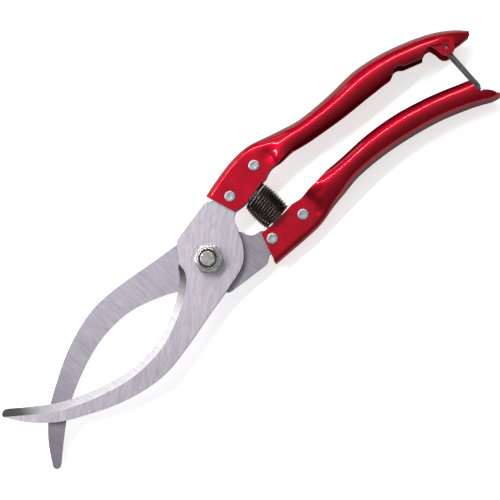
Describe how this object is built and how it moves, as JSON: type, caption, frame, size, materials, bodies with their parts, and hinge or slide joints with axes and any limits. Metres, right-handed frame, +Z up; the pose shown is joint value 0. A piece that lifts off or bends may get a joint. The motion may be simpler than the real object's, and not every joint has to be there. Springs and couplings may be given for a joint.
{
  "type": "hoof nipper",
  "caption": "Hand nipper with two crossing curved blades on a pivot bolt, sprung channel handles and a wire catch at the handle ends.",
  "frame": {"origin": "on the pivot axis, at the underside of the bolt head, which is level with the undersides of the grips", "axes": "+Z up along the pivot axis, towards the lock nut; +X from the pivot towards the handles; +Y towards the handle that holds the catch"},
  "size_m": [0.301, 0.0732, 0.0203],
  "materials": {
    "blade_steel": "ground",
    "handle_paint": "glossy",
    "rivet_steel": "satin",
    "bolt_steel": "polished",
    "nylon": "matte",
    "spring_steel": "blackened",
    "catch_steel": "satin"
  },
  "bodies": {
    "front_half": {"front_blade": "blade_steel", "upper_handle": "handle_paint", "upper_front_rivet": "rivet_steel", "upper_back_rivet": "rivet_steel", "pivot_bolt": "bolt_steel", "lock_nut": "bolt_steel", "nylon_insert": "nylon", "barrel_spring": "spring_steel"},
    "rear_half": {"rear_blade": "blade_steel", "lower_handle": "handle_paint", "lower_front_rivet": "rivet_steel", "lower_back_rivet": "rivet_steel"},
    "catch": {"wire_catch": "catch_steel"}
  },
  "joints": [
    {"name": "pivot", "type": "hinge", "parent": "front_half", "child": "rear_half", "pos_m": [0, 0, 0.00866], "axis": [0, 0, -1], "range_deg": [-0.5, 28], "stiffness_Nm_per_rad": 0.95, "springref_deg": 28, "deforming": ["barrel_spring"]},
    {"name": "catch_swing", "type": "hinge", "parent": "front_half", "child": "catch", "pos_m": [0.1577, -0.0095, 0.00866], "axis": [0, 0, 1], "range_deg": [-2, 60]}
  ]
}
